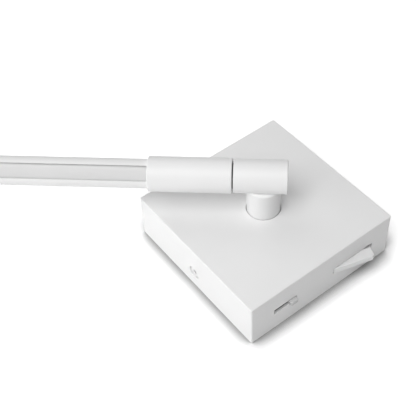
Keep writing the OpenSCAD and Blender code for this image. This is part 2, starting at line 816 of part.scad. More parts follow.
module retaining_nut() color("silver") translate([0, 0, nut_z]) difference() {
    hexagon(nut_flats, nut_h);
    translate([0, 0, -past]) cylinder(h = nut_h + 2 * past, d = shank_d + 2 * seat_gap);
}

module post_lead() color("lightgray") translate([0, 0, axis_z]) rotate([0, 0, arm_angle])
    wire([
        [0, 0, lead_join_z + lead_gap - axis_z], [0, 0, -lead_bend],
        [lead_bend, 0, 0], [post_lead_end, 0, 0]
    ], lead_d);

// Roll joint between the knuckle and the sleeve

module roll_spindle() color("silver") along_arm() difference() {
    union() {
        translate([0, 0, knuckle_front - root_l]) cylinder(h = root_l + roll_gap, d = root_d);
        translate([0, 0, knuckle_front]) cylinder(h = roll_gap, d = collar_d);
        translate([0, 0, knuckle_front]) cylinder(h = journal_end - knuckle_front, d = journal_d);
        translate([0, 0, knuckle_front]) cylinder(h = spindle_end - knuckle_front, d = spindle_thread);
    }
    translate([0, 0, knuckle_front - root_l - past])
        cylinder(h = spindle_end - knuckle_front + root_l + 2 * past, d = spindle_bore);
}

module roll_stop_washer() color("silver") along_arm() translate([0, 0, journal_end]) difference() {
    union() {
        cylinder(h = roll_stop_t, d = roll_washer_d);
        translate([-roll_tab_w / 2, 0, 0]) cube([roll_tab_w, roll_tab_r, roll_stop_t]);
    }
    translate([0, 0, -past]) cylinder(h = roll_stop_t + 2 * past, d = spindle_thread + 2 * seat_gap);
}

module roll_spring() color("slategray") along_arm() translate([0, 0, roll_stop_end])
    coned_washer(roll_spring_d, spindle_thread + 2 * seat_gap, spring_h, spring_t);

module roll_nut() color("silver") along_arm() translate([0, 0, roll_spring_end]) difference() {
    hexagon(roll_nut_flats, roll_nut_h);
    translate([0, 0, -past]) cylinder(h = roll_nut_h + 2 * past, d = spindle_thread + 2 * seat_gap);
}

module arm_sleeve() color("white") along_bar() difference() {
    translate([0, 0, sleeve_start]) rotate_extrude() rod_outline(sleeve_d / 2, sleeve_l, rim_edge);
    translate([0, 0, sleeve_start - past]) cylinder(h = sleeve_l + 2 * past, d = sleeve_bore);
    translate([0, 0, set_screw_at]) rotate([90, 0, 0])
        cylinder(h = sleeve_d, d = set_screw_d + 2 * seat_gap);
}

// The lug on the bush's end meets the stop washer's tab at either end of the roll
module roll_bush() color("lightgray") along_bar() {
    difference() {
        translate([0, 0, sleeve_start]) cylinder(h = roll_bush_l, d = bar_d);
        translate([0, 0, sleeve_start - past])
            cylinder(h = roll_bush_l + 2 * past, d = journal_d + 2 * run_gap);
    }
    intersection() {
        translate([0, 0, roll_bush_end - past]) difference() {
            cylinder(h = roll_lug_end - roll_bush_end + past, d = bar_d);
            translate([0, 0, -past]) cylinder(h = roll_lug_end + past, r = roll_lug_r);
        }
        translate([-roll_lug_w / 2, -bar_d, roll_bush_end - past])
            cube([roll_lug_w, bar_d, roll_lug_end - roll_bush_end + past]);
    }
}

// Light bar

module bar_set_screw() color("silver") along_bar() translate([0, -set_screw_r, set_screw_at])
    rotate([-90, 0, 0]) difference() {
        cylinder(h = set_screw_l, d = set_screw_d);
        translate([0, 0, -past]) hexagon(small_key, small_key_depth + past);
    }

// Cross-section of the bar: a round bar with the channel, the diffuser's grooves and a screw port
module bar_outline() difference() {
    circle(bar_r);
    translate([-channel_w / 2, led_floor_y]) square([channel_w, bar_d]);
    translate([-diffuser_w / 2 - seat_gap, diffuser_y - seat_gap])
        square([diffuser_w + 2 * seat_gap, diffuser_t + 2 * seat_gap]);
    translate([0, port_y]) circle(d = port_d + 2 * seat_gap);
}

module light_bar() color("white") along_bar() difference() {
    translate([0, 0, bar_start]) linear_extrude(bar_l) bar_outline();
    translate([0, -set_screw_r - past, set_screw_at]) rotate([-90, 0, 0])
        cylinder(h = set_screw_l + past + seat_gap, d = set_screw_d + 2 * seat_gap);
}

module led_board() color("ivory") along_bar() translate([-led_board_w / 2, led_floor_y, diffuser_start])
    cube([led_board_w, led_board_t, bar_end - diffuser_start]);

module led_chips() color("khaki") along_bar() for (i = [0 : led_count - 1])
    translate([-led_side / 2, led_top_y, led_first + i * led_pitch - led_side / 2])
        cube([led_side, led_h, led_side]);

module diffuser() color("gainsboro") along_bar()
    translate([-diffuser_w / 2, diffuser_y, diffuser_start])
        cube([diffuser_w, diffuser_t, bar_end - diffuser_start]);

module bar_lead() color("lightgray") along_bar()
    translate([0, led_top_y + lead_d / 2 + face_gap, bar_lead_start])
        cylinder(h = bar_lead_end - bar_lead_start, d = lead_d);

module bar_end_cap() color("white") along_bar() translate([0, 0, bar_end]) difference() {
    rotate_extrude() stud_outline(bar_r, end_cap_t, rim_edge);
    translate([0, port_y, -past]) cylinder(h = end_cap_t + 2 * past, d = port_d + 2 * seat_gap);
    translate([0, port_y, end_cap_t - cap_screw_head_h])
        cylinder(h = cap_screw_head_h + past, d = cap_screw_head_d + 2 * seat_gap);
}

module end_cap_screw() color("silver") along_bar()
    translate([0, port_y, bar_end + end_cap_t - cap_screw_head_h]) difference() {
        union() {
            cylinder(h = cap_screw_head_h, d = cap_screw_head_d);
            translate([0, 0, -cap_screw_l]) cylinder(h = cap_screw_l + cap_screw_head_h / 2, d = port_d);
        }
        translate([0, 0, cap_screw_head_h - small_key_depth]) hexagon(small_key, cap_screw_head_h);
    }

wall_plate();
base_housing();
cover_screws();
cable_grommet();
terminal_block();
terminal_screws();
earth_screw();
led_driver();
driver_screws();
control_board();
board_screws();
board_parts();
rocker_frame();
rocker_pin();
switch_block();
slide_case();
swivel_bush();
friction_washer();
stop_pin();
mains_wires();
switch_wires();
driver_lead();
swivel_tee();
knuckle_plug();
stop_washer();
disc_spring();
retaining_nut();
roll_spindle();
roll_stop_washer();
roll_spring();
roll_nut();
post_lead();
arm_sleeve();
roll_bush();
bar_set_screw();
light_bar();
led_board();
led_chips();
diffuser();
bar_lead();
bar_end_cap();
end_cap_screw();
rocker_paddle();
slide_knob();
slide_wiper();
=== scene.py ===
"""Swing-arm wall light: its pieces, finishes and studio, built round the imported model.

The file is laid out as an add-on and run as a script. Lengths are in metres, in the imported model's frame.
"""

import json
import math

import bmesh
import bpy
from bpy.props import FloatProperty, FloatVectorProperty, PointerProperty
from bpy.types import Operator, Panel, PropertyGroup
from mathutils import Matrix, Vector


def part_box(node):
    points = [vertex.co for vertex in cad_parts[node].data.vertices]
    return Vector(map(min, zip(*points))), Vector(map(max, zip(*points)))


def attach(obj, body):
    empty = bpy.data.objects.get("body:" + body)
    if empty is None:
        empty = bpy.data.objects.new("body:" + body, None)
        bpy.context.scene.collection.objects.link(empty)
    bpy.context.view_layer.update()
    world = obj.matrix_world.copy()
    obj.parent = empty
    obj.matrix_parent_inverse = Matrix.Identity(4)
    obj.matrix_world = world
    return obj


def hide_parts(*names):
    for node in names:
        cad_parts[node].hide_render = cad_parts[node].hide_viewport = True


bl_info = {
    "name": "Swing-arm wall light",
    "version": (1, 0, 0),
    "blender": (4, 5, 0),
    "location": "3D View > Sidebar > Wall light",
    "description": "Models the pieces, finishes and studio of a small swing-arm wall light",
    "category": "Object",
}

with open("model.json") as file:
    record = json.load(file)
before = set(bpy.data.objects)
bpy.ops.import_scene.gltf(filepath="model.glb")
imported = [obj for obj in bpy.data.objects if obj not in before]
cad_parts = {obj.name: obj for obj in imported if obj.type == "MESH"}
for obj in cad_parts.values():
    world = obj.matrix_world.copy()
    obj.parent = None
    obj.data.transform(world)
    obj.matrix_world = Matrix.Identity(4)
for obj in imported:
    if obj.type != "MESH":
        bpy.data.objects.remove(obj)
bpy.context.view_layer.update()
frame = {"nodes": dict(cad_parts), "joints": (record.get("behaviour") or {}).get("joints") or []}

MM = 0.001
# Distance that cutting shapes run past the faces they cut
PAST = 1 * MM
# Two places closer than this are the same place
NEAR = 0.01 * MM
# Clearance between pieces that fit closely
CLEAR = 0.1 * MM
# Sides of the large and the small round pieces
ROUND = 128
SMALL_ROUND = 64
# Points of a many-sided round lie within this distance of the true round
ROUND_NEAR = 0.1 * MM
# A face whose normal has more than this along an axis faces along it
FACING = 0.99
# Edges past the first angle are shaded sharp, and edges past the second are broken
SHARP_ANGLE = math.radians(32)
BREAK_ANGLE = math.radians(40)
# How far the grain of a finish spreads its roughness to either side
GLOSS_SPREAD = 0.12

# Where the soft lights hang, as directions from the base
KEY_FROM = (-0.4, -0.22, 0.89)
SIDE_FROM = (-0.94, 0.18, 0.13)
BACK_FROM = (0.1, 0.6, 0.79)
# Size of the paper, and how far it lies under the base so that their faces stay apart
PAPER_SIZE = 8
PAPER_DROP = 0.05 * MM
# Rays that measure the open sky at each place on the paper, which sets its painted contact shadow
SKY_SAMPLES = 32

# The photograph's camera, with its lens and its sensor in millimetres
CAMERA_AZIMUTH = math.radians(-35.247)
CAMERA_ELEVATION = math.radians(49.487)
CAMERA_ROLL = math.radians(-3.27)
CAMERA_AIM = Vector((-0.02452, 0.01907, 0.02996))
CAMERA_FAR = 0.49253
CAMERA_LENS = 76.067
CAMERA_SENSOR = 36
CAMERA_CLIP = 0.01

# Where the arm runs and rolls, and where the rocker tips, from their joints
ROLL = next(joint for joint in frame["joints"] if joint["name"] == "arm_roll")
AXIS_AT = Vector(ROLL["pos_m"])
ARM = Vector(ROLL["axis"]).normalized()
PIVOT = next(joint for joint in frame["joints"] if joint["name"] == "rocker_tilt")
ROCKER_AT = Vector(PIVOT["pos_m"])
# Out of the wall
OUT = Vector((0, 0, 1))


def linear(code):
    """Turn an sRGB hex colour into the linear values that shaders take."""
    parts = [int(code[i:i + 2], 16) / 255 for i in (0, 2, 4)]
    return [p / 12.92 if p <= 0.04045 else ((p + 0.055) / 1.055) ** 2.4 for p in parts]


def length(name, description, millimetres):
    """Make a property for a length, given in millimetres."""
    return FloatProperty(
        name=name, description=description, default=millimetres * MM, min=0, precision=5, unit="LENGTH"
    )


def colour(name, description, code):
    """Make a property for a colour, given as sRGB hex."""
    return FloatVectorProperty(
        name=name, description=description, default=linear(code), min=0, max=1, subtype="COLOR"
    )


def power(name, description, watts):
    """Make a property for a lamp's power."""
    return FloatProperty(name=name, description=description, default=watts, min=0, unit="POWER")


def level(name, description, value):
    """Make a property for a strength that has no unit."""
    return FloatProperty(name=name, description=description, default=value, min=0, precision=3)


# Sizes and colours that a user would change


class BaseSizes(PropertyGroup):
    """Sizes of the cover and its screws"""

    wall: length("Wall", "Thickness of the cover's sides", 2.5)
    front: length("Front", "Thickness of the cover's front", 3)
    corner: length("Corner", "Radius on the cover's four upright edges", 1)
    edge: length("Edge", "Radius on the edges of the cover's front", 0.6)
    break_edge: length("Edge break", "Small radius on the edges of slots and holes", 0.2)
    pocket_depth: length("Pocket depth", "Depth of the recess that the post stands in", 5)
    pocket_gap: length("Pocket gap", "Gap round the post's foot", 0.35)
    boss_d: length("Boss diameter", "Boss inside the cover, round the swivel's bush", 31.2)
    bush_l: length("Bush length", "Length of the swivel's bush in the boss", 6)
    bush_d: length("Bush diameter", "Hole in the boss for the swivel's bush", 16.1)
    pillar_d: length("Pillar diameter", "Pillars inside the cover for the control board", 6)
    slot_gap: length("Slot gap", "Gap above and below the rocker, and round the cover screws", 0.3)
    nub_gap: length("Nub gap", "Gap above and below the nub in its slot", 0.5)
    relief: length("Relief", "Depth of the relief inside the wall, under the slide switch's slot", 1)
    relief_drop: length("Relief drop", "Height of that relief", 1.6)
    rocker_slot: length("Rocker slot", "Length of the slot for the rocker", 29.04)
    slide_slot: length("Slide slot", "Length of the slot for the slide switch", 15.5)
    slide_x: length("Slide place", "Distance of the slide switch's slot from the middle of its side", 26.6)
    thread_d: length("Thread diameter", "Thread of the cover screws", 4)
    head_d: length("Head diameter", "Head of the cover screws", 7.2)
    head_h: length("Head height", "Height of the cover screws' heads", 0.9)
    head_edge: length("Head edge", "Radius on the rim of the cover screws' heads", 0.3)
    screw_l: length("Screw length", "Length of the cover screws under their heads", 6.5)
    recess: length("Recess", "Depth of the recess that a cover screw's head sits in", 1.6)
    recess_d: length("Recess diameter", "Diameter of that recess", 8)
    key: length("Key", "Width of the cover screws' sockets across their flats", 2.5)
    key_depth: length("Key depth", "Depth of the cover screws' sockets", 2)


class ArmSizes(PropertyGroup):
    """Sizes of the post, the sleeve, the bar and the diffuser"""

    post_d: length("Post diameter", "Diameter of the post", 19.1)
    shank_d: length("Shank diameter", "Shank under the post, which turns in the bush", 12)
    lead_bore: length("Lead bore", "Bore through the post for the lead", 7)
    post_drop: length("Post drop", "Height of the arm's axis above the shoulder on the post", 5.9)
    shoulder: length("Shoulder", "Radius on the post's shoulder under the knuckle", 1.5)
    foot_edge: length("Foot edge", "Radius on the post's foot", 0.3)
    root_bore: length("Root bore", "Bore through the knuckle for the spindle", 8.1)
    rim: length("Rim", "Radius on the rims of the knuckle, the sleeve and the end cap", 0.6)
    inner_rim: length("Inner rim", "Radius on the edges of bores", 0.2)
    sleeve_bore: length("Sleeve bore", "Bore of the sleeve for the bar", 16.3)
    channel: length("Channel", "Width of the channel along the bar", 8.4)
    channel_floor: length("Channel floor", "Distance of the channel's floor behind the bar's axis", 2.8)
    lip: length("Lip", "Radius on the channel's lips", 0.15)
    groove: length("Groove", "Depth of the grooves that hold the diffuser", 0.95)
    groove_gap: length("Groove gap", "Gap behind and in front of the diffuser in its grooves", 0.05)
    crown: length("Crown", "Rise of the diffuser's face at its middle", 0.12)
    crown_flat: level("Crown flat", "Share of the diffuser's width that the top of its crown takes", 0.45)
    crown_round: length("Crown round", "Width of the rounding along the diffuser's crown", 1.5)
    port_d: length("Screw port", "Diameter of the screw port behind the channel", 2.6)
    port_y: length("Screw port place", "Distance of the screw port behind the bar's axis", 5.4)
    cap_head: length("Cap screw head", "Height of the head of the end cap's screw", 1.2)
    key: length("Small key", "Width of the small screws' sockets across their flats", 1.5)
    key_depth: length("Small key depth", "Depth of the small screws' sockets", 0.7)


class SwitchSizes(PropertyGroup):
    """Sizes of the rocker and the slide switch"""

    tilt: FloatProperty(
        name="Tilt", description="Angle of the rocker at rest", default=math.radians(16.5), subtype="ANGLE"
    )
    rocker_l: length("Rocker length", "Length of the rocker's face", 25)
    rocker_face: length("Rocker face", "Distance of the rocker's face from its pivot", 7.874)
    rocker_inner: length("Rocker back", "Distance of the rocker's back from its pivot", 1.6)
    rocker_h: length("Rocker height", "Height of the rocker in its slot", 3.6)
    rocker_edge: length("Rocker corner", "Radius on the outer corners of the rocker", 1.5)
    hub_r: length("Hub radius", "Radius of the rocker's hub", 2.4)
    pin_bore: length("Pin bore", "Bore of the hub for its pin", 1.66)
    nose_w: length("Nose width", "Width of the nose that works the switch", 3)
    nose_l: length("Nose length", "Length of the nose from the pivot", 9.5)
    nose_h: length("Nose height", "Height of the nose", 3)
    edge: length("Edge", "Radius on the edges of the rocker and the nub", 0.3)
    nub_l: length("Nub length", "Length of the slide switch's nub", 5)
    nub_h: length("Nub height", "Height of the slide switch's nub", 2.8)
    nub_edge: length("Nub corner", "Radius on the front corners of the nub", 1)
    nub_round: length("Nub round", "Radius along the upper and lower edges of the nub", 0.5)
    shoe_t: length("Shoe thickness", "Thickness of the shoe behind the nub", 1.5)


class FinishColours(PropertyGroup):
    """Colours of the finishes that show, each with a faint second tone"""

    coat: colour("Coat", "Powder coat on the cover and the arm", "EDEDED")
    coat_tint: colour("Coat tint", "Faint second tone of the powder coat", "E9E9E9")
    opal: colour("Opal", "Diffuser in the channel", "D4D4D4")
    opal_tint: colour("Opal tint", "Faint second tone of the diffuser", "D1D1D1")
    switch: colour("Switch", "Rocker", "EEEEEE")
    switch_tint: colour("Switch tint", "Faint second tone of the rocker", "EAEAEA")
    # The nub's pale grey is painted shade: it is darker than the white rocker so that the nub takes the tone
    # of the shaded side face
    nub: colour("Nub", "Nub of the slide switch", "CDCDCD")
    nub_tint: colour("Nub tint", "Faint second tone of the nub", "C9C9C9")
    screw: colour("Screw", "Painted heads of the screws", "E6E6E6")
    screw_tint: colour("Screw tint", "Faint second tone of the screws", "E2E2E2")


class StageLevels(PropertyGroup):
    """Levels of the light and the paper"""

    key_power: power("Key power", "Soft light overhead, a little to the left and the front", 7.8)
    side_power: power("Side power", "Low soft light on the left, a little to the back", 5.8)
    back_power: power("Back power", "Soft light high at the back", 2.2)
    lamp_size: length("Lamp size", "Width of the soft lights", 750)
    lamp_far: length("Lamp distance", "Distance of the soft lights from the base", 1100)
    ambient: level("Ambient", "Level of the even light all round", 0.135)
    exposure: level(
        "Paper exposure", "How far past white the camera sees the paper, which thins its shadows", 1.5
    )
    # The contact shadow round the base is painted into the paper's colour, set by these three levels
    painted_shadow_width: length("Contact shadow", "Width of the dark seam where the base meets the paper", 12.5)
    painted_shadow_sky: level("Seam sky", "Share of open sky at which the seam is darkest", 0.5)
    painted_shadow_level: level("Seam shade", "Brightness of the seam, as a share of the paper's exposure", 0.2)
    paper: colour("Paper", "Paper that the light stands on", "F6F6F6")


# Places and measures


def cad_points(node):
    """Return the places of a CAD node's points."""
    return [v.co.copy() for v in frame["nodes"][node].data.vertices]


def extent(node, direction):
    """Return a CAD node's lowest and highest place along a direction, measured from the knuckle's middle."""
    places = [(p - AXIS_AT).dot(direction) for p in cad_points(node)]
    return min(places), max(places)


def along_arm(node):
    """Return a CAD node's lowest and highest place along the arm, measured from the post's axis."""
    return extent(node, ARM)


def arm_radius(node):
    """Return the largest distance of a CAD node's points from the arm's axis."""
    return max((p - AXIS_AT).cross(ARM).length for p in cad_points(node))


def middles(node, gap):
    """Return the middle of each separate piece of a CAD node, told apart by gaps along X."""
    points = sorted(cad_points(node), key=lambda p: p.x)
    groups = [[points[0]]]
    for p in points[1:]:
        if p.x - groups[-1][-1].x > gap:
            groups.append([])
        groups[-1].append(p)
    return [
        Vector((min(p[i] for p in g) + max(p[i] for p in g)) / 2 for i in range(3)) for g in groups
    ]


def turned(side, up, forward, origin):
    """Return the matrix that puts local X, Y and Z along three directions, from an origin."""
    turn = Matrix((side, up, forward)).transposed().to_4x4()
    return Matrix.Translation(origin) @ turn


def arm_place(up):
    """Return the matrix with local Z along the arm and local Y along a direction square to it."""
    return turned(up.cross(ARM), up, ARM, AXIS_AT)


def mouth():
    """Return the direction that the channel of the bar faces, from the diffuser's place."""
    low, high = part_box("diffuser")
    offset = (low + high) / 2 - AXIS_AT
    return (offset - offset.dot(ARM) * ARM).normalized()


# Modelling by hand: primitives, edit mode and modifiers


def activate(piece):
    """Leave edit mode and select one piece alone."""
    if bpy.context.mode != "OBJECT":
        bpy.ops.object.mode_set(mode="OBJECT")
    bpy.ops.object.select_all(action="DESELECT")
    piece.select_set(True)
    bpy.context.view_layer.objects.active = piece


def named(name):
    """Name the primitive that was just added and put its place in its mesh."""
    piece = bpy.context.active_object
    piece.name = name
    piece.data.name = name
    bpy.ops.object.transform_apply(location=True, rotation=True, scale=True)
    return piece


def cylinder(name, diameter, low, high, sides=ROUND, at=(0, 0)):
    """Add a cylinder that stands along Z between two heights."""
    bpy.ops.object.select_all(action="DESELECT")
    bpy.ops.mesh.primitive_cylinder_add(
        vertices=sides, radius=diameter / 2, depth=high - low, location=(at[0], at[1], (low + high) / 2)
    )
    return named(name)


def hexagon(name, flats, low, high, at=(0, 0)):
    """Add a hexagon bar along Z, measured across its flats."""
    return cylinder(name, flats / math.cos(math.radians(30)), low, high, sides=6, at=at)


def block(name, low, high):
    """Add a block between two opposite corners."""
    low, high = Vector(low), Vector(high)
    bpy.ops.object.select_all(action="DESELECT")
    bpy.ops.mesh.primitive_cube_add(size=1, location=(low + high) / 2, scale=high - low)
    return named(name)


def place(piece, matrix):
    """Move a piece to its place and put that place in its mesh."""
    activate(piece)
    piece.matrix_world = matrix
    bpy.ops.object.transform_apply(location=True, rotation=True, scale=True)
    return piece


def pick(piece, kind, test):
    """Go to edit mode with only those edges or faces selected that pass a test."""
    activate(piece)
    bpy.ops.object.mode_set(mode="EDIT")
    bpy.ops.mesh.select_mode(type=kind)
    bpy.ops.mesh.select_all(action="DESELECT")
    mesh = bmesh.from_edit_mesh(piece.data)
    chosen = 0
    for part in mesh.edges if kind == "EDGE" else mesh.faces:
        if test(part):
            part.select_set(True)
            chosen += 1
    bmesh.update_edit_mesh(piece.data)
    if not chosen:
        raise RuntimeError(f"{piece.name}: nothing to select")


def bevel(piece, test, radius, steps):
    """Round the edges that pass a test."""
    pick(piece, "EDGE", test)
    bpy.ops.mesh.bevel(offset=radius, segments=steps, affect="EDGES")
    bpy.ops.object.mode_set(mode="OBJECT")


def rise(edge):
    """Return the difference in height between an edge's ends."""
    return abs(edge.verts[0].co.z - edge.verts[1].co.z)


def at_height(z):
    """Return a test for edges that lie at a height."""
    return lambda edge: all(abs(v.co.z - z) < NEAR for v in edge.verts)


def combine(piece, operation, *tools):
    """Join the tools to a piece or cut them out of it, and remove them."""
    for tool in tools:
        activate(piece)
        step = piece.modifiers.new("shape", "BOOLEAN")
        step.operation = operation
        step.solver = "EXACT"
        step.object = tool
        bpy.ops.object.modifier_apply(modifier=step.name)
        bpy.data.objects.remove(tool)
    return piece


def soften(piece, width, steps=2):
    """Break every sharp edge of a piece with a small radius."""
    activate(piece)
    step = piece.modifiers.new("edges", "BEVEL")
    step.width = width
    step.segments = steps
    step.limit_method = "ANGLE"
    step.angle_limit = BREAK_ANGLE
    step.use_clamp_overlap = True
    bpy.ops.object.modifier_apply(modifier=step.name)


def copied(piece, name):
    """Return a copy of a piece with a mesh of its own."""
    activate(piece)
    bpy.ops.object.duplicate(linked=False)
    bpy.context.active_object.name = name
    return bpy.context.active_object


def joined(piece, *others):
    """Make several pieces one piece of several shells."""
    activate(piece)
    for other in others:
        other.select_set(True)
    bpy.ops.object.join()
    return piece


def hand_over(piece, body, slot, material, *nodes):
    """Shade a finished piece, give it its material, tie it to its body and hide the CAD nodes that it stands
    for.
    """
    activate(piece)
    bpy.ops.object.shade_smooth_by_angle(angle=SHARP_ANGLE)
    step = piece.modifiers.new("shading", "WEIGHTED_NORMAL")
    step.keep_sharp = True
    bpy.ops.object.modifier_apply(modifier=step.name)
    piece.data.materials.clear()
    piece.data.materials.append(material)
    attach(piece, body)
    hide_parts(*nodes)


# Finishes


def add(tree, kind, links=None, **settings):
    """Add a node, set its sockets and properties, and link other nodes' outputs to its sockets."""
    node = tree.nodes.new(kind)
    for name, value in settings.items():
        socket = node.inputs.get(name.replace("_", " "))
        if socket is None:
            setattr(node, name, value)
        else:
            socket.default_value = value
    for name, output in (links or {}).items():
        tree.links.new(output, node.inputs[name])
    return node


def finish(name, base, tint, roughness, grain, relief, cloud=25, stretch=(1, 1, 1), turn=0, **shader):
    """Make a material with a cloud of two tones, and a grain that shows in its relief and its gloss.

    grain, relief and cloud are in millimetres. stretch draws the grain out along an axis, after a turn
    about Z.
    """
    material = bpy.data.materials.get(name)
    if material:
        return material
    material = bpy.data.materials.new(name)
    material.use_nodes = True
    tree = material.node_tree
    tree.nodes.clear()
    spot = add(tree, "ShaderNodeTexCoord").outputs["Object"]
    drawn = add(
        tree, "ShaderNodeMapping", {"Vector": spot}, Rotation=(0, 0, turn), Scale=stretch
    ).outputs["Vector"]
    clouds = add(tree, "ShaderNodeTexNoise", {"Vector": spot}, Scale=1 / (cloud * MM), Detail=2.0)
    tones = add(tree, "ShaderNodeMix", {"Factor": clouds.outputs["Fac"]}, data_type="RGBA")
    for socket, value in zip([s for s in tones.inputs if s.type == "RGBA"], (base, tint)):
        socket.default_value = (*value, 1)
    grains = add(tree, "ShaderNodeTexNoise", {"Vector": drawn}, Scale=1 / (grain * MM), Detail=3.0)
    gloss = add(tree, "ShaderNodeMapRange", {"Value": grains.outputs["Fac"]})
    gloss.inputs["To Min"].default_value = roughness * (1 - GLOSS_SPREAD)
    gloss.inputs["To Max"].default_value = roughness * (1 + GLOSS_SPREAD)
    bump = add(
        tree, "ShaderNodeBump", {"Height": grains.outputs["Fac"]}, Strength=1.0, Distance=relief * MM
    )
    surface = add(
        tree, "ShaderNodeBsdfPrincipled",
        {
            "Base Color": next(s for s in tones.outputs if s.type == "RGBA"),
            "Roughness": gloss.outputs["Result"],
            "Normal": bump.outputs["Normal"],
        },
        **shader,
    )
    add(tree, "ShaderNodeOutputMaterial", {"Surface": surface.outputs["BSDF"]})
    return material


def powder_coat():
    """Polyester powder, sprayed and baked on aluminium: an even satin white with a faint orange peel."""
    tones = bpy.context.scene.walllight_finishes
    # Real orange peel is about 0.8 mm wide, finer than the render shows, so it is drawn at 1.4 mm
    return finish(
        "powder_coated_aluminium", tones.coat, tones.coat_tint, roughness=0.5, grain=1.4, relief=0.004,
        IOR=1.5,
    )


def opal_acrylic():
    """Extruded opal acrylic: milky and matt, with faint draw lines, so that no chip shows behind it."""
    tones = bpy.context.scene.walllight_finishes
    along = math.atan2(ARM.y, ARM.x)
    return finish(
        "extruded_opal_acrylic", tones.opal, tones.opal_tint, roughness=0.42, grain=0.9, relief=0.002,
        stretch=(0.02, 1, 1), turn=-along, IOR=1.49, Subsurface_Weight=0.3, Subsurface_Scale=0.3 * MM,
        Subsurface_Radius=(1, 1, 1),
    )


def moulded_abs():
    """Injection-moulded ABS from a spark-eroded tool: white, with a fine even grain and a soft shine."""
    tones = bpy.context.scene.walllight_finishes
    # The grain is about 0.15 mm in truth and is drawn at 0.6 mm to show
    return finish(
        "moulded_white_abs", tones.switch, tones.switch_tint, roughness=0.45, grain=0.6, relief=0.004,
        IOR=1.53,
    )


def painted_shade_grey_abs():
    """Injection-moulded ABS, grained like the white, in a pale grey that is painted shade: it darkens the
    nub to the tone of the shaded side face round it.
    """
    tones = bpy.context.scene.walllight_finishes
    return finish(
        "painted_shade_grey_abs", tones.nub, tones.nub_tint, roughness=0.45, grain=0.6, relief=0.004, IOR=1.53
    )


def painted_steel():
    """Steel screw with a baked white lacquer: a little glossier than the powder coat round it."""
    tones = bpy.context.scene.walllight_finishes
    return finish(
        "lacquered_steel", tones.screw, tones.screw_tint, roughness=0.38, grain=0.7, relief=0.002, IOR=1.5
    )


# Finishes of the CAD pieces that stay as they are, each with the nodes that wear it


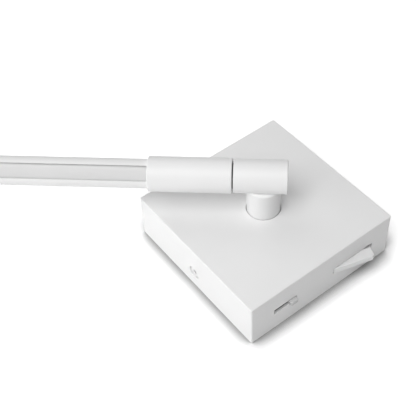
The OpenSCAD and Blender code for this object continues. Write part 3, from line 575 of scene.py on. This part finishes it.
def inner_finishes():
    """Return the materials of the inner pieces, and the CAD nodes that each one goes on."""
    return [
        # Zinc plate on pressed and turned steel: a bright, slightly blue grey with fine rolling lines
        (
            finish(
                "zinc_plated_steel", linear("BFC3C8"), linear("AEB4BB"), roughness=0.34, grain=0.8,
                relief=0.003, cloud=8, stretch=(1, 0.15, 1), Metallic=1.0,
            ),
            [
                "wall_plate", "terminal_screws", "driver_screws", "board_screws",
                "rocker_pin", "stop_pin", "stop_washer", "retaining_nut", "roll_stop_washer", "roll_nut",
            ],
        ),
        # Turned steel, blacked in hot salts and oiled: black with a dull sheen
        (
            finish(
                "black_oxide_steel", linear("1C1C1E"), linear("232326"), roughness=0.5, grain=0.5,
                relief=0.002, cloud=4, Metallic=0.6,
            ),
            ["roll_spindle"],
        ),
        # Tempered spring steel, oiled black: dark with a dull shine
        (
            finish(
                "tempered_spring_steel", linear("6A6E74"), linear("565A60"), roughness=0.42, grain=0.6,
                relief=0.002, cloud=5, Metallic=1.0,
            ),
            ["disc_spring", "roll_spring"],
        ),
        # Rolled brass strip: warm yellow with fine lines along the roll
        (
            finish(
                "rolled_brass", linear("D8B45C"), linear("C8A048"), roughness=0.3, grain=0.4,
                relief=0.002, cloud=4, stretch=(0.1, 1, 1), Metallic=1.0,
            ),
            ["earth_screw", "slide_wiper"],
        ),
        # Turned acetal: dense black with a waxy sheen
        (
            finish(
                "turned_acetal", linear("161616"), linear("1B1B1B"), roughness=0.4, grain=0.5,
                relief=0.003, cloud=6, IOR=1.48,
            ),
            ["swivel_bush", "roll_bush"],
        ),
        # Pressed friction fibre: matt black flecked with paler fibres
        (
            finish(
                "pressed_friction_fibre", linear("242220"), linear("3A3633"), roughness=0.85, grain=0.5,
                relief=0.02, cloud=1.2,
            ),
            ["friction_washer"],
        ),
        # Moulded rubber: black, soft and dull
        (
            finish(
                "moulded_rubber", linear("1B1B1B"), linear("222222"), roughness=0.75, grain=0.6,
                relief=0.01, cloud=6, IOR=1.52,
            ),
            ["cable_grommet"],
        ),
        # Moulded polycarbonate: the driver's pale grey case, finely grained
        (
            finish(
                "moulded_polycarbonate", linear("DDDDD6"), linear("D6D6CE"), roughness=0.55, grain=0.7,
                relief=0.01, cloud=12, IOR=1.58,
            ),
            ["led_driver"],
        ),
        # Moulded nylon: milky white with a soft gloss
        (
            finish(
                "moulded_nylon", linear("E6E6DE"), linear("DEDED4"), roughness=0.48, grain=0.6,
                relief=0.006, cloud=8, IOR=1.53,
            ),
            ["terminal_block"],
        ),
        # Moulded black polyester: the cases of the two switches
        (
            finish(
                "moulded_black_polyester", linear("1D1D20"), linear("26262A"), roughness=0.5, grain=0.6,
                relief=0.008, cloud=7, IOR=1.56,
            ),
            ["rocker_frame", "switch_block", "slide_case", "board_parts"],
        ),
        # Glass-epoxy board under green solder mask: glossy, with copper showing as paler tracks
        (
            finish(
                "solder_masked_board", linear("14603A"), linear("1F7A4C"), roughness=0.3, grain=1.0,
                relief=0.01, cloud=2.5, stretch=(0.2, 1, 1), IOR=1.55,
            ),
            ["control_board"],
        ),
        # Aluminium-cored board under white solder mask: chalky white with a slight gloss
        (
            finish(
                "white_masked_board", linear("E8E8E4"), linear("DFDFDA"), roughness=0.4, grain=0.8,
                relief=0.004, cloud=6, IOR=1.55,
            ),
            ["led_board"],
        ),
        # Silicone filled with phosphor: matt yellow tablets
        (
            finish(
                "phosphor_silicone", linear("EBCB62"), linear("E4BE4C"), roughness=0.5, grain=0.3,
                relief=0.004, cloud=1.5, IOR=1.42,
            ),
            ["led_chips"],
        ),
        # Extruded PVC on the mains wires, on the switch wires and on the grey lead to the lights
        (
            finish(
                "extruded_brown_pvc", linear("5C351B"), linear("683E22"), roughness=0.45, grain=0.5,
                relief=0.004, cloud=5, IOR=1.53,
            ),
            ["mains_wires"],
        ),
        (
            finish(
                "extruded_blue_pvc", linear("244A9A"), linear("2C55A8"), roughness=0.45, grain=0.5,
                relief=0.004, cloud=5, IOR=1.53,
            ),
            ["switch_wires"],
        ),
        (
            finish(
                "extruded_grey_pvc", linear("B8B8B8"), linear("AEAEAE"), roughness=0.5, grain=0.5,
                relief=0.004, cloud=5, IOR=1.53,
            ),
            ["driver_lead", "post_lead", "bar_lead"],
        ),
    ]


# Operators, one for each piece or group of like pieces


class WALLLIGHT_OT_base_cover(Operator):
    """Model the square cover with its boss, pillars, slots and holes"""

    bl_idname = "walllight.base_cover"
    bl_label = "Base cover"

    def execute(self, context):
        sizes = context.scene.walllight_base
        arm = context.scene.walllight_arm
        switch = context.scene.walllight_switch
        low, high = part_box("base_housing")
        cover = block("base_cover", low, high)
        bevel(cover, lambda e: rise(e) > NEAR, sizes.corner, steps=8)
        bevel(cover, at_height(high.z), sizes.edge, steps=6)
        wall = Vector((sizes.wall, sizes.wall, -PAST))
        inside = Vector((-sizes.wall, -sizes.wall, -sizes.front))
        combine(cover, "DIFFERENCE", block("cavity", low + wall, high + inside))
        ceiling = high.z - sizes.front
        pocket_floor = high.z - sizes.pocket_depth
        boss_end = pocket_floor - sizes.bush_l
        board_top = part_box("control_board")[1].z
        combine(cover, "UNION", cylinder("boss", sizes.boss_d, boss_end, ceiling + PAST))
        for spot in middles("board_screws", sizes.pillar_d):
            combine(
                cover, "UNION",
                cylinder("pillar", sizes.pillar_d, board_top, ceiling + PAST, SMALL_ROUND, spot),
            )
        combine(
            cover, "DIFFERENCE",
            cylinder("pocket", arm.post_d + 2 * sizes.pocket_gap, pocket_floor, high.z + PAST),
            cylinder("bush_hole", sizes.bush_d, boss_end - PAST, pocket_floor + PAST),
        )
        gap = sizes.slot_gap
        wall_back = low.y + sizes.wall
        rocker_tall = switch.rocker_h / 2 + gap
        nub_tall = switch.nub_h / 2 + sizes.nub_gap
        for name, x, wide, outer, bottom, top in (
            ("rocker_slot", ROCKER_AT.x, sizes.rocker_slot, low.y - PAST, -rocker_tall, rocker_tall),
            ("slide_slot", -sizes.slide_x, sizes.slide_slot, low.y - PAST, -nub_tall, nub_tall),
            (
                "slot_relief", -sizes.slide_x, sizes.slide_slot, wall_back - sizes.relief,
                -nub_tall - sizes.relief_drop, PAST - nub_tall,
            ),
        ):
            slot_low = Vector((x - wide / 2, outer, ROCKER_AT.z + bottom))
            slot_high = Vector((x + wide / 2, wall_back + PAST, ROCKER_AT.z + top))
            combine(cover, "DIFFERENCE", block(name, slot_low, slot_high))
        screws_low, screws_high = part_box("cover_screws")
        screw_z = (screws_low.z + screws_high.z) / 2
        for name, wide, start, end in (
            ("screw_hole", sizes.thread_d + 2 * gap, low.x - PAST, high.x + PAST),
            ("left_recess", sizes.recess_d, low.x - PAST, low.x + sizes.recess),
            ("right_recess", sizes.recess_d, high.x - sizes.recess, high.x + PAST),
        ):
            hole = cylinder(name, wide, start, end, SMALL_ROUND)
            place(hole, turned(-OUT, Vector((0, 1, 0)), Vector((1, 0, 0)), Vector((0, 0, screw_z))))
            combine(cover, "DIFFERENCE", hole)
        soften(cover, sizes.break_edge)
        hand_over(cover, "base", "cover_coat", powder_coat(), "base_housing")
        return {"FINISHED"}


class WALLLIGHT_OT_cover_screws(Operator):
    """Model the socket screws in the sides of the cover"""

    bl_idname = "walllight.cover_screws"
    bl_label = "Cover screws"

    def execute(self, context):
        sizes = context.scene.walllight_base
        low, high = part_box("base_housing")
        screws_low, screws_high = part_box("cover_screws")
        at = Vector((low.x + sizes.recess, 0, (screws_low.z + screws_high.z) / 2))
        screw = cylinder("cover_socket_screws", sizes.head_d, 0, sizes.head_h, SMALL_ROUND)
        bevel(screw, at_height(sizes.head_h), sizes.head_edge, steps=4)
        thread = cylinder("thread", sizes.thread_d, -sizes.screw_l, PAST / 2, SMALL_ROUND)
        combine(screw, "UNION", thread)
        combine(
            screw, "DIFFERENCE",
            hexagon("socket", sizes.key, sizes.head_h - sizes.key_depth, sizes.head_h + PAST),
        )
        soften(screw, sizes.break_edge / 2)
        twin = copied(screw, "twin")
        outward = Vector((-1, 0, 0))
        across = Vector((0, 1, 0))
        place(screw, turned(across.cross(outward), across, outward, at))
        at.x = high.x - sizes.recess
        place(twin, turned(across.cross(-outward), across, -outward, at))
        joined(screw, twin)
        hand_over(screw, "base", "screw_coat", painted_steel(), "cover_screws")
        return {"FINISHED"}


class WALLLIGHT_OT_swivel_tee(Operator):
    """Model the casting of the post and its knuckle, and the plug in the knuckle's end"""

    bl_idname = "walllight.swivel_tee"
    bl_label = "Post and knuckle"

    def execute(self, context):
        sizes = context.scene.walllight_arm
        low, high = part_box("swivel_tee")
        back, front = along_arm("swivel_tee")
        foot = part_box("swivel_bush")[1].z + CLEAR
        shoulder = AXIS_AT.z - sizes.post_drop
        post = cylinder("post", sizes.post_d, foot, shoulder)
        bevel(post, at_height(shoulder), sizes.shoulder, steps=8)
        bevel(post, at_height(foot), sizes.foot_edge, steps=3)
        knuckle = cylinder("post_and_knuckle", 2 * (high.z - AXIS_AT.z), back, front)
        bevel(knuckle, at_height(back), sizes.rim, steps=5)
        bevel(knuckle, at_height(front), sizes.rim, steps=5)
        place(knuckle, arm_place(OUT))
        shank = cylinder("shank", sizes.shank_d, low.z, foot + PAST)
        combine(knuckle, "UNION", post, shank)
        bore = cylinder("root_bore", sizes.root_bore, back - PAST, front + PAST, SMALL_ROUND)
        place(bore, arm_place(OUT))
        lead_bore = cylinder("lead_bore", sizes.lead_bore, low.z - PAST, AXIS_AT.z, SMALL_ROUND)
        combine(knuckle, "DIFFERENCE", bore, lead_bore)
        hand_over(knuckle, "post", "arm_coat", powder_coat(), "swivel_tee")

        plug_back, plug_front = along_arm("knuckle_plug")
        plug_d = 2 * arm_radius("knuckle_plug")
        plug = cylinder("knuckle_end_plug", plug_d, plug_back, plug_front, SMALL_ROUND)
        bevel(plug, at_height(plug_back), sizes.inner_rim, steps=3)
        place(plug, arm_place(OUT))
        hand_over(plug, "post", "arm_coat", powder_coat(), "knuckle_plug")
        return {"FINISHED"}


class WALLLIGHT_OT_arm_sleeve(Operator):
    """Model the sleeve that turns against the knuckle, and the grub screw that holds the bar in it"""

    bl_idname = "walllight.arm_sleeve"
    bl_label = "Sleeve"

    def execute(self, context):
        sizes = context.scene.walllight_arm
        start, end = along_arm("arm_sleeve")
        radius = arm_radius("arm_sleeve")
        up = mouth()
        sleeve = cylinder("arm_sleeve_tube", 2 * radius, start, end)
        bevel(sleeve, at_height(start), sizes.rim, steps=5)
        bevel(sleeve, at_height(end), sizes.rim, steps=5)
        pick(sleeve, "FACE", lambda f: abs(f.normal.z) > FACING)
        bpy.ops.mesh.inset(thickness=radius - sizes.rim - sizes.sleeve_bore / 2, use_even_offset=True)
        bpy.ops.mesh.bridge_edge_loops()
        bpy.ops.object.mode_set(mode="OBJECT")
        screw_start, screw_end = along_arm("bar_set_screw")
        screw_at = (screw_start + screw_end) / 2
        screw_d = screw_end - screw_start
        hole = cylinder("screw_hole", screw_d + CLEAR, radius / 2, radius + PAST, SMALL_ROUND)
        through = turned(Vector((1, 0, 0)), Vector((0, 0, 1)), Vector((0, -1, 0)), Vector((0, 0, screw_at)))
        place(hole, through)
        combine(sleeve, "DIFFERENCE", hole)
        soften(sleeve, sizes.inner_rim)
        place(sleeve, arm_place(up))
        hand_over(sleeve, "arm", "arm_coat", powder_coat(), "arm_sleeve")

        tip, top = extent("bar_set_screw", -up)
        screw = cylinder("bar_grub_screw", screw_d, tip, top, SMALL_ROUND)
        bevel(screw, at_height(top), sizes.inner_rim, steps=3)
        socket = hexagon("socket", sizes.key, top - sizes.key_depth, top + PAST)
        combine(screw, "DIFFERENCE", socket)
        place(screw, arm_place(up) @ through)
        hand_over(screw, "arm", "screw_coat", painted_steel(), "bar_set_screw")
        return {"FINISHED"}


class WALLLIGHT_OT_light_bar(Operator):
    """Model the round bar with its channel, its end cap and the cap's screw"""

    bl_idname = "walllight.light_bar"
    bl_label = "Light bar"

    def execute(self, context):
        sizes = context.scene.walllight_arm
        start, end = along_arm("light_bar")
        radius = arm_radius("light_bar")
        up = mouth()
        half = sizes.channel / 2
        lip_y = math.sqrt(radius ** 2 - half ** 2)
        bar = cylinder("light_bar_profile", 2 * radius, start, end)
        channel = block(
            "channel", (-half, -sizes.channel_floor, start - PAST), (half, radius + PAST, end + PAST)
        )
        combine(bar, "DIFFERENCE", channel)
        bevel(
            bar,
            lambda e: rise(e) > end - start - NEAR
            and all(abs(abs(v.co.x) - half) < NEAR and abs(v.co.y - lip_y) < ROUND_NEAR for v in e.verts),
            sizes.lip, steps=5,
        )
        strip_low, strip_high = extent("diffuser", up)
        wide = half + sizes.groove
        bottom = strip_low - sizes.groove_gap
        top = strip_high - sizes.crown + sizes.groove_gap
        groove = block("groove", (-wide, bottom, start - PAST), (wide, top, end + PAST))
        spot = (0, -sizes.port_y)
        port = cylinder("port", sizes.port_d, start - PAST, end + PAST, SMALL_ROUND, spot)
        combine(bar, "DIFFERENCE", groove, port)
        place(bar, arm_place(up))
        hand_over(bar, "arm", "arm_coat", powder_coat(), "light_bar")

        cap_start, cap_end = along_arm("bar_end_cap")
        screw_low, screw_high = along_arm("end_cap_screw")
        head_d = 2 * extent("end_cap_screw", up.cross(ARM))[1]
        head_low = cap_end - sizes.cap_head
        cap = cylinder("bar_end_cap_disc", 2 * radius, cap_start, cap_end)
        bevel(cap, at_height(cap_end), sizes.rim, steps=5)
        head_seat = cylinder("head_seat", head_d + CLEAR, head_low, cap_end + PAST, SMALL_ROUND, spot)
        thread_hole = cylinder("thread_hole", sizes.port_d, cap_start - PAST, cap_end, SMALL_ROUND, spot)
        combine(cap, "DIFFERENCE", head_seat, thread_hole)
        place(cap, arm_place(up))
        hand_over(cap, "arm", "arm_coat", powder_coat(), "bar_end_cap")

        screw = cylinder("end_cap_socket_screw", head_d, head_low, screw_high, SMALL_ROUND, spot)
        bevel(screw, at_height(screw_high), sizes.inner_rim, steps=3)
        thread_d = sizes.port_d - CLEAR
        thread = cylinder("thread", thread_d, screw_low, head_low + PAST / 2, SMALL_ROUND, spot)
        combine(screw, "UNION", thread)
        socket = hexagon("socket", sizes.key, screw_high - sizes.key_depth, screw_high + PAST, spot)
        combine(screw, "DIFFERENCE", socket)
        place(screw, arm_place(up))
        hand_over(screw, "arm", "screw_coat", painted_steel(), "end_cap_screw")
        return {"FINISHED"}


class WALLLIGHT_OT_diffuser(Operator):
    """Model the opal strip that covers the lights in the channel"""

    bl_idname = "walllight.diffuser"
    bl_label = "Diffuser"

    def execute(self, context):
        sizes = context.scene.walllight_arm
        start, end = along_arm("diffuser")
        up = mouth()
        wide = extent("diffuser", up.cross(ARM))[1]
        bottom, top = extent("diffuser", up)
        crown_foot = top - sizes.crown
        strip = block("opal_diffuser", (-wide, bottom, start), (wide, crown_foot, end))
        pick(strip, "FACE", lambda f: f.normal.y > FACING)
        bpy.ops.mesh.extrude_region_move(TRANSFORM_OT_translate={"value": (0, sizes.crown, 0)})
        bpy.ops.transform.resize(value=(sizes.crown_flat, 1, 1))
        bpy.ops.object.mode_set(mode="OBJECT")
        bevel(
            strip,
            lambda e: rise(e) > end - start - NEAR and e.verts[0].co.y > crown_foot - NEAR,
            sizes.crown_round, steps=5,
        )
        place(strip, arm_place(up))
        hand_over(strip, "arm", "opal_acrylic", opal_acrylic(), "diffuser")
        return {"FINISHED"}


class WALLLIGHT_OT_rocker(Operator):
    """Model the rocker with its hub and the nose that works the switch"""

    bl_idname = "walllight.rocker"
    bl_label = "Rocker"

    def execute(self, context):
        sizes = context.scene.walllight_switch
        half = sizes.rocker_l / 2
        tall = sizes.rocker_h / 2
        paddle = block(
            "rocker_wedge", (-half, -sizes.rocker_face, -tall), (half, -sizes.rocker_inner, tall)
        )
        bevel(
            paddle,
            lambda e: rise(e) > tall and all(v.co.y < -sizes.rocker_face + NEAR for v in e.verts),
            sizes.rocker_edge, steps=6,
        )
        hub = cylinder("hub", 2 * sizes.hub_r, -tall, tall, SMALL_ROUND)
        nose_side = Vector((sizes.nose_w / 2, 0, sizes.nose_h / 2))
        nose = block("nose", -nose_side, nose_side + Vector((0, sizes.nose_l, 0)))
        combine(paddle, "UNION", hub, nose)
        soften(paddle, sizes.edge, 3)
        pin_hole = cylinder("pin_hole", sizes.pin_bore, -2 * tall, 2 * tall, SMALL_ROUND)
        combine(paddle, "DIFFERENCE", pin_hole)
        place(paddle, Matrix.Translation(ROCKER_AT) @ Matrix.Rotation(-sizes.tilt, 4, "Z"))
        hand_over(paddle, "rocker", "switch_white", moulded_abs(), "rocker_paddle")
        return {"FINISHED"}


class WALLLIGHT_OT_slide(Operator):
    """Model the nub of the slide switch and the shoe behind it"""

    bl_idname = "walllight.slide"
    bl_label = "Slide switch"

    def execute(self, context):
        sizes = context.scene.walllight_switch
        low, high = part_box("slide_knob")
        middle = (low + high) / 2
        half = Vector((sizes.nub_l / 2, 0, sizes.nub_h / 2))
        front = Vector((middle.x, low.y, middle.z))
        back = Vector((middle.x, high.y, middle.z))
        nub = block("slide_nub", front - half, back + half)
        bevel(
            nub,
            lambda e: rise(e) > half.z and all(v.co.y < low.y + NEAR for v in e.verts),
            sizes.nub_edge, steps=6,
        )
        bevel(
            nub,
            lambda e: all(abs(abs(v.co.z - middle.z) - half.z) < NEAR for v in e.verts)
            and any(v.co.y < high.y - NEAR for v in e.verts),
            sizes.nub_round, steps=5,
        )
        shoe = block("shoe", (low.x, high.y - sizes.shoe_t, low.z), high)
        combine(nub, "UNION", shoe)
        soften(nub, sizes.edge, 3)
        hand_over(nub, "slider", "nub_grey", painted_shade_grey_abs(), "slide_knob")
        return {"FINISHED"}


class WALLLIGHT_OT_inner_finishes(Operator):
    """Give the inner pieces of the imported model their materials"""

    bl_idname = "walllight.inner_finishes"
    bl_label = "Inner finishes"

    def execute(self, context):
        for material, nodes in inner_finishes():
            for name in nodes:
                for holder in frame["nodes"][name].material_slots:
                    holder.material = material
        return {"FINISHED"}


class WALLLIGHT_OT_stage(Operator):
    """Lay the paper, hang the soft light and set the camera"""

    bl_idname = "walllight.stage"
    bl_label = "Stage"

    def execute(self, context):
        scene = context.scene
        levels = scene.walllight_stage
        scene.view_settings.view_transform = "Standard"
        self.paper(levels)
        self.studio(scene, levels)
        self.lamp("key_softbox", KEY_FROM, levels.key_power, levels)
        self.lamp("side_softbox", SIDE_FROM, levels.side_power, levels)
        self.lamp("back_softbox", BACK_FROM, levels.back_power, levels)
        self.camera(scene)
        return {"FINISHED"}

    def paper(self, levels):
        """Lay the white paper, which shows past white, with a contact shadow painted into its colour round
        the base.
        """
        bpy.ops.object.select_all(action="DESELECT")
        bpy.ops.mesh.primitive_plane_add(size=PAPER_SIZE, location=(0, 0, -PAPER_DROP))
        floor = named("paper_floor")
        paper = bpy.data.materials.new("white_paper_sweep")
        paper.use_nodes = True
        tree = paper.node_tree
        tree.nodes.clear()
        lights = add(tree, "ShaderNodeBsdfDiffuse", Color=(*levels.paper, 1))
        # Painted contact shadow: the paper's colour darkens where the base hides its sky. A wall beside the
        # paper hides half of its sky at the wall's foot, and less the further off it is
        sky = add(tree, "ShaderNodeAmbientOcclusion", Distance=levels.painted_shadow_width, samples=SKY_SAMPLES)
        painted_shadow = add(tree, "ShaderNodeMapRange", {"Value": sky.outputs["AO"]})
        painted_shadow.inputs["From Min"].default_value = levels.painted_shadow_sky
        painted_shadow.inputs["To Min"].default_value = levels.painted_shadow_level * levels.exposure
        painted_shadow.inputs["To Max"].default_value = levels.exposure
        shows = add(tree, "ShaderNodeBsdfDiffuse", {"Color": painted_shadow.outputs["Result"]})
        sheet = add(
            tree, "ShaderNodeMixShader", {0: self.seen(tree), 1: lights.outputs[0], 2: shows.outputs[0]}
        )
        add(tree, "ShaderNodeOutputMaterial", {"Surface": sheet.outputs[0]})
        floor.data.materials.append(paper)

    def studio(self, scene, levels):
        """Fill the studio with even light, and show its background white."""
        world = bpy.data.worlds.new("studio")
        world.use_nodes = True
        scene.world = world
        tree = world.node_tree
        tree.nodes.clear()
        spread = add(tree, "ShaderNodeMapRange", {"Value": self.seen(tree)})
        spread.inputs["To Min"].default_value = levels.ambient
        spread.inputs["To Max"].default_value = 1.0
        white = (1, 1, 1, 1)
        backdrop = add(tree, "ShaderNodeBackground", {"Strength": spread.outputs["Result"]}, Color=white)
        add(tree, "ShaderNodeOutputWorld", {"Surface": backdrop.outputs[0]})

    def seen(self, tree):
        """Return an output that is 1 for the rays that show the background, and 0 for those that light."""
        path = add(tree, "ShaderNodeLightPath")
        total = path.outputs["Is Camera Ray"]
        for name in ("Is Glossy Ray", "Is Transmission Ray"):
            larger = add(tree, "ShaderNodeMath", {0: total, 1: path.outputs[name]}, operation="MAXIMUM")
            total = larger.outputs[0]
        return total

    def lamp(self, name, side, watts, levels):
        """Hang a square soft light on one side, facing the base."""
        light = bpy.data.lights.new(name, "AREA")
        light.size = levels.lamp_size
        light.energy = watts
        holder = bpy.data.objects.new(name, light)
        toward = Vector(side).normalized()
        holder.location = toward * levels.lamp_far
        holder.rotation_euler = toward.to_track_quat("Z", "Y").to_euler()
        bpy.context.scene.collection.objects.link(holder)

    def camera(self, scene):
        """Set the camera at the photograph's place, turned a little about its own axis."""
        level_part = math.cos(CAMERA_ELEVATION)
        back = Vector((
            math.sin(CAMERA_AZIMUTH) * level_part,
            -math.cos(CAMERA_AZIMUTH) * level_part,
            math.sin(CAMERA_ELEVATION),
        ))
        flat = Vector((math.cos(CAMERA_AZIMUTH), math.sin(CAMERA_AZIMUTH), 0))
        right = math.cos(CAMERA_ROLL) * flat + math.sin(CAMERA_ROLL) * back.cross(flat)
        lens = bpy.data.cameras.new("studio_camera")
        lens.lens = CAMERA_LENS
        lens.sensor_width = CAMERA_SENSOR
        lens.clip_start = CAMERA_CLIP
        camera = bpy.data.objects.new("studio_camera", lens)
        camera.matrix_world = turned(right, back.cross(right), back, CAMERA_AIM + back * CAMERA_FAR)
        scene.collection.objects.link(camera)
        scene.camera = camera


class WALLLIGHT_PT_panel(Panel):
    """Sidebar panel with the sizes, the colours and a button for each step"""

    bl_idname = "WALLLIGHT_PT_panel"
    bl_label = "Wall light"
    bl_space_type = "VIEW_3D"
    bl_region_type = "UI"
    bl_category = "Wall light"

    def draw(self, context):
        for step in STEPS:
            self.layout.operator(step.bl_idname)
        for name in GROUPS:
            box = self.layout.box()
            group = getattr(context.scene, name)
            for key in group.bl_rna.properties.keys():
                if key not in ("rna_type", "name"):
                    box.prop(group, key)


GROUPS = {
    "walllight_base": BaseSizes,
    "walllight_arm": ArmSizes,
    "walllight_switch": SwitchSizes,
    "walllight_finishes": FinishColours,
    "walllight_stage": StageLevels,
}
STEPS = (
    WALLLIGHT_OT_stage,
    WALLLIGHT_OT_inner_finishes,
    WALLLIGHT_OT_base_cover,
    WALLLIGHT_OT_cover_screws,
    WALLLIGHT_OT_swivel_tee,
    WALLLIGHT_OT_arm_sleeve,
    WALLLIGHT_OT_light_bar,
    WALLLIGHT_OT_diffuser,
    WALLLIGHT_OT_rocker,
    WALLLIGHT_OT_slide,
)
CLASSES = (*GROUPS.values(), *STEPS, WALLLIGHT_PT_panel)


def register():
    """Register the classes and hang the settings on the scene."""
    for cls in CLASSES:
        bpy.utils.register_class(cls)
    for name, group in GROUPS.items():
        setattr(bpy.types.Scene, name, PointerProperty(type=group))


def unregister():
    """Take the settings and the classes away again."""
    for name in GROUPS:
        delattr(bpy.types.Scene, name)
    for cls in reversed(CLASSES):
        bpy.utils.unregister_class(cls)


def main():
    """Build the studio and every piece in order."""
    register()
    bpy.ops.walllight.stage()
    bpy.ops.walllight.inner_finishes()
    bpy.ops.walllight.base_cover()
    bpy.ops.walllight.cover_screws()
    bpy.ops.walllight.swivel_tee()
    bpy.ops.walllight.arm_sleeve()
    bpy.ops.walllight.light_bar()
    bpy.ops.walllight.diffuser()
    bpy.ops.walllight.rocker()
    bpy.ops.walllight.slide()


if __name__ == "__main__":
    main()
